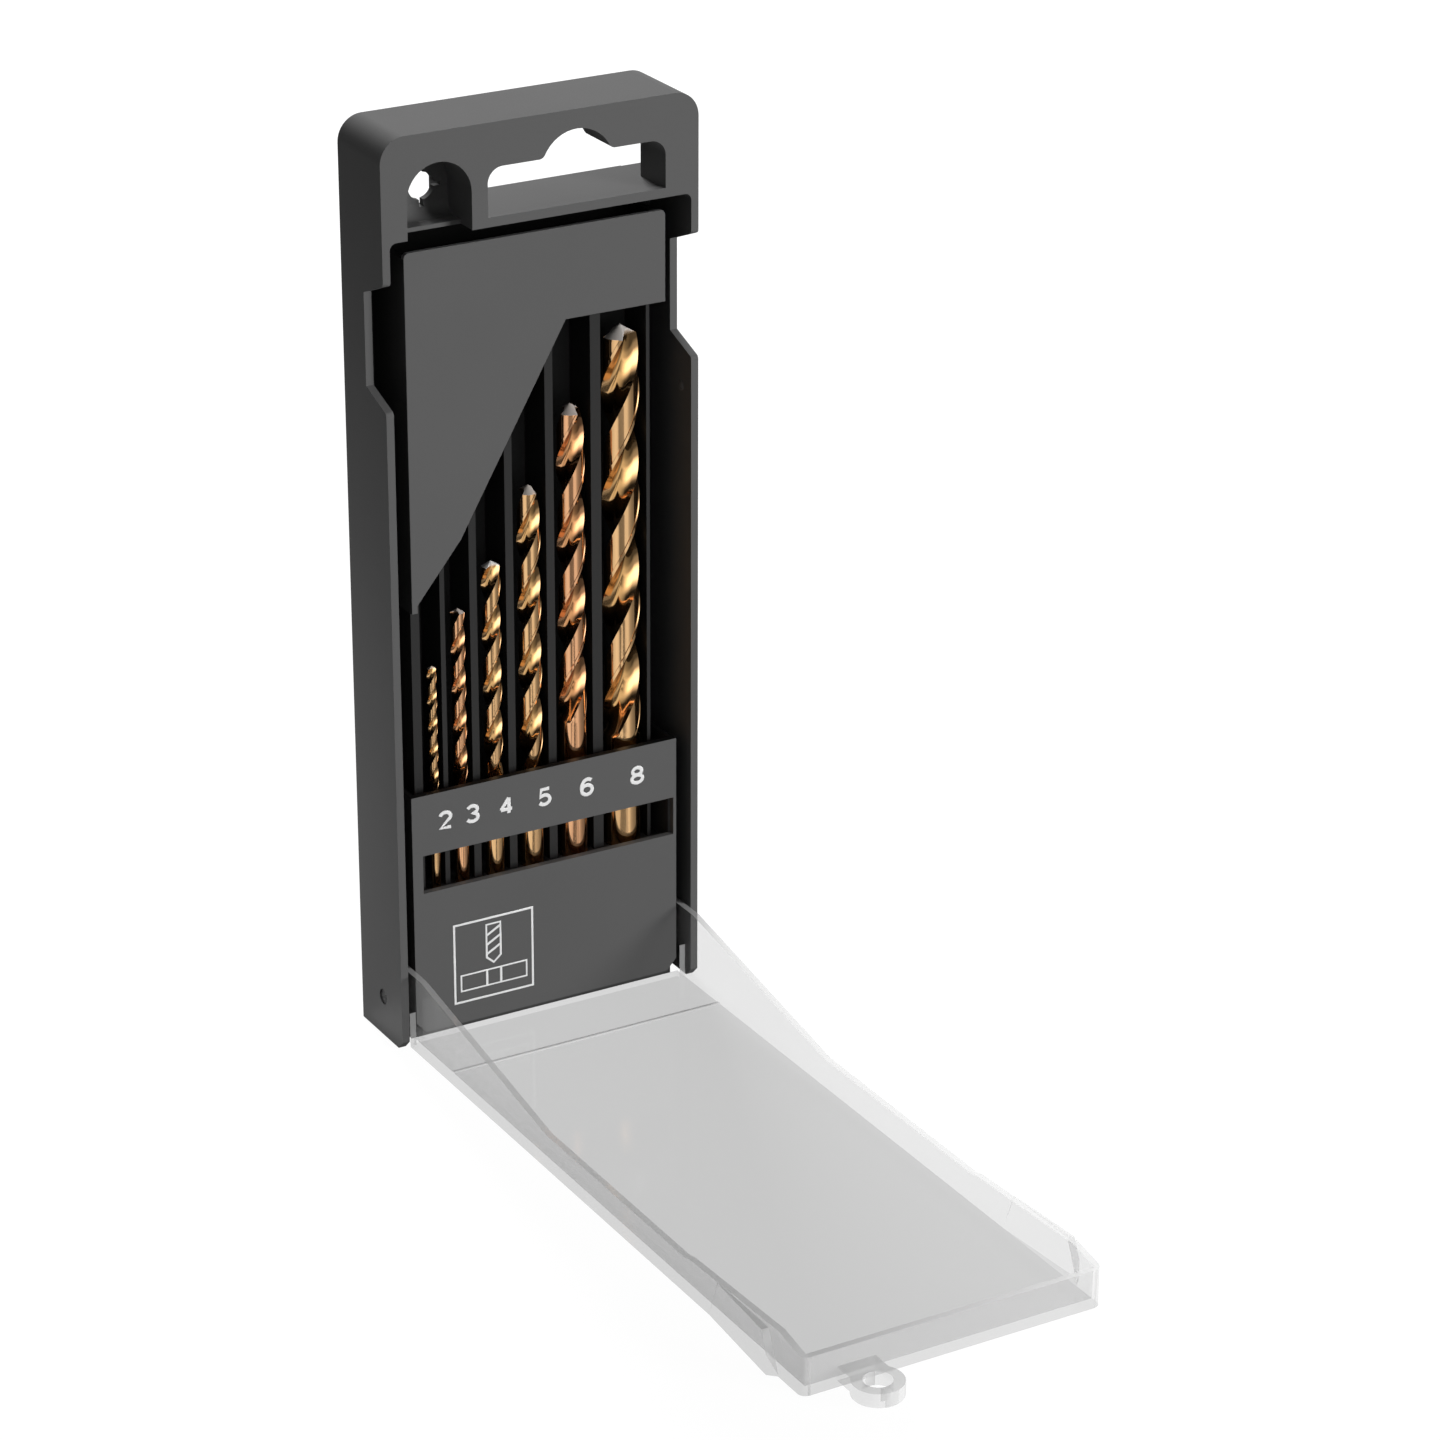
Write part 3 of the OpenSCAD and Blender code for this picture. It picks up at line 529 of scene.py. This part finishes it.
# What reflections see. Stops go by compass: 0 and 1 look to the front (-Y), 0.25 to the
# left, 0.5 to the back and 0.75 to the right. Heights are the Z of the direction.
mirrorRoom = dict(
    low=((0.0, 1.0), (0.02, 0.25), (0.1, 0.2), (0.125, 0.95), (0.16, 1.1), (0.24, 0.8), (0.29, 0.15),
         (0.31, 0.02), (0.68, 0.03), (0.72, 0.15), (0.86, 0.3), (0.915, 0.5), (0.955, 1.0),
         (0.985, 0.95), (1.0, 1.0)),
    high=((0.0, 2.0), (0.03, 3.2), (0.09, 3.0), (0.13, 1.3), (0.17, 0.2), (0.2, 0.02), (0.9, 0.1),
          (0.93, 0.4), (0.97, 0.5), (1.0, 2.0)),
    lift=(-0.35, 0.0), zenith=(0.55, 0.85), zenithLevel=1.4, under=(-0.95, -0.5), underLevel=0.35)
lamps = {
    "keyLight": dict(place=(0.8, -1.25, 0.42), size=(0.5, 0.5), power=24, target=(0, -0.02, 0.09)),
    "backLight": dict(place=(0.3, 1.3, 0.85), size=(0.5, 0.5), power=65, target=(0, -0.02, 0.09)),
    "leftLight": dict(place=(-0.16, 0.1, 0.03), size=(0.08, 0.06), power=0.2, target=(0, 0, 0.01)),
}


def stageSheet(name, low, high, z, material):
    mesh = bpy.data.meshes.new(name)
    mesh.from_pydata([(low[0], low[1], z), (high[0], low[1], z), (high[0], high[1], z),
                      (low[0], high[1], z)], [], [(0, 1, 2, 3)])
    sheet = placeObject(name, mesh, material)
    sheet.visible_diffuse = False
    return sheet


def makeFloor():
    material, tree = newMaterial("paleFloor")
    shader = addNode(tree, "ShaderNodeBsdfPrincipled", {
        "Base Color": linear(studio["floorTone"]), "Roughness": 0.9, "Specular IOR Level": 0.0,
        "Emission Color": (1, 1, 1, 1), "Emission Strength": studio["floor"]})
    finishMaterial(tree, shader)
    reach = studio["reach"]
    floor = stageSheet("floor", (-reach, -reach), (reach, reach), -0.02 * mm, material)
    floor.visible_glossy = False


def makeCard():
    material, tree = newMaterial("cardBesideLid")
    finishMaterial(tree, addNode(tree, "ShaderNodeEmission", {"Strength": card["level"]}))
    sheet = stageSheet("cardBesideLid", (caseLow.x - card["left"], lidLow.y - card["front"]),
                       (caseLow.x - card["right"], card["back"]), 0.02 * mm, material)
    sheet.visible_camera = False
    sheet.visible_transmission = False
    sheet.visible_shadow = False


def compassBands(tree, turn, stops):
    ramp = addNode(tree, "ShaderNodeValToRGB", {"Fac": turn.outputs["Result"]})
    elements = ramp.color_ramp.elements
    while len(elements) < len(stops):
        elements.new(0.5)
    for element, (place, level) in zip(elements, stops):
        element.position = place
        element.color = (level, level, level, 1)
    return ramp.outputs["Color"]


def heightShare(tree, height, ends, low=0.0, high=1.0):
    share = addNode(tree, "ShaderNodeMapRange", {"Value": height, "From Min": ends[0], "From Max": ends[1],
                                                 "To Min": low, "To Max": high})
    return share.outputs["Result"]


def makeWorld():
    # White to the eye and an even, low light on the object. In reflections it is a
    # studio: upright soft boxes with dark gaps between them, all the way round.
    world = bpy.data.worlds.new("studio")
    bpy.context.scene.world = world
    world.use_nodes = True
    tree = world.node_tree
    tree.nodes.clear()
    way = addNode(tree, "ShaderNodeTexCoord").outputs["Generated"]
    parts = addNode(tree, "ShaderNodeSeparateXYZ", {"Vector": way})
    height = parts.outputs["Z"]
    compass = addNode(tree, "ShaderNodeMath", {0: parts.outputs["X"], 1: parts.outputs["Y"]},
                      operation="ARCTAN2")
    turn = addNode(tree, "ShaderNodeMapRange", {"Value": compass.outputs[0], "From Min": -math.pi,
                                                "From Max": math.pi})
    low = compassBands(tree, turn, mirrorRoom["low"])
    high = compassBands(tree, turn, mirrorRoom["high"])
    lift = heightShare(tree, height, mirrorRoom["lift"])
    around = addNode(tree, "ShaderNodeMix", {"Factor": lift, "A": low, "B": high}, data_type="RGBA")
    zenith = heightShare(tree, height, mirrorRoom["zenith"])
    level = mirrorRoom["zenithLevel"]
    whole = addNode(tree, "ShaderNodeMix", {"Factor": zenith, "A": around.outputs["Result"],
                                            "B": (level, level, level, 1)}, data_type="RGBA")
    under = heightShare(tree, height, mirrorRoom["under"], low=mirrorRoom["underLevel"])
    boxes = addNode(tree, "ShaderNodeBackground", {"Color": whole.outputs["Result"], "Strength": under})
    even = addNode(tree, "ShaderNodeBackground", {"Color": (1, 1, 1, 1), "Strength": studio["fill"]})
    plain = addNode(tree, "ShaderNodeBackground", {"Color": (1, 1, 1, 1), "Strength": 1.0})
    path = addNode(tree, "ShaderNodeLightPath")
    mirrored = addNode(tree, "ShaderNodeMixShader", {0: path.outputs["Is Glossy Ray"],
                                                     1: even.outputs[0], 2: boxes.outputs[0]})
    seen = addNode(tree, "ShaderNodeMixShader", {0: path.outputs["Is Camera Ray"],
                                                 1: mirrored.outputs[0], 2: plain.outputs[0]})
    addNode(tree, "ShaderNodeOutputWorld", {"Surface": seen.outputs[0]})


def makeLight(name, values):
    data = bpy.data.lights.new(name, "AREA")
    data.shape = "RECTANGLE"
    data.size, data.size_y = values["size"]
    data.energy = values["power"]
    light = bpy.data.objects.new(name, data)
    light.location = values["place"]
    aim = Vector(values["target"]) - Vector(values["place"])
    light.rotation_mode = "QUATERNION"
    light.rotation_quaternion = aim.to_track_quat("-Z", "Y")
    bpy.context.scene.collection.objects.link(light)
    light.visible_glossy = False
    light.visible_camera = False


# The lens and the place were fitted to the photograph's edges. Angles are in degrees, the
# focal length and the frame in pixels, the sensor in millimetres.
view = dict(azimuth=-30.146, elevation=23.681, roll=0.210, focal=4771.879, frame=1440, sensor=36,
            place=(-0.4296, -0.8207, 0.4715))


def makeCamera():
    data = bpy.data.cameras.new("camera")
    data.sensor_width = view["sensor"]
    data.lens = data.sensor_width * view["focal"] / view["frame"]
    data.clip_start = 0.01
    camera = bpy.data.objects.new("camera", data)
    bpy.context.scene.collection.objects.link(camera)
    azimuth, elevation, roll = (math.radians(view[key]) for key in ("azimuth", "elevation", "roll"))
    back = Vector((math.sin(azimuth) * math.cos(elevation), -math.cos(azimuth) * math.cos(elevation),
                   math.sin(elevation)))
    right = (-back).cross(Vector((0, 0, 1))).normalized()
    up = right.cross(-back)
    across = math.cos(roll) * right + math.sin(roll) * up
    upward = -math.sin(roll) * right + math.cos(roll) * up
    turn = Matrix((across, upward, back)).transposed()
    camera.matrix_world = Matrix.Translation(view["place"]) @ turn.to_4x4()
    bpy.context.scene.camera = camera


makeFloor()
makeCard()
makeWorld()
for name, values in lamps.items():
    makeLight(name, values)
makeCamera()
bpy.context.scene.view_settings.view_transform = "Standard"
print("stage: floor, light and camera")
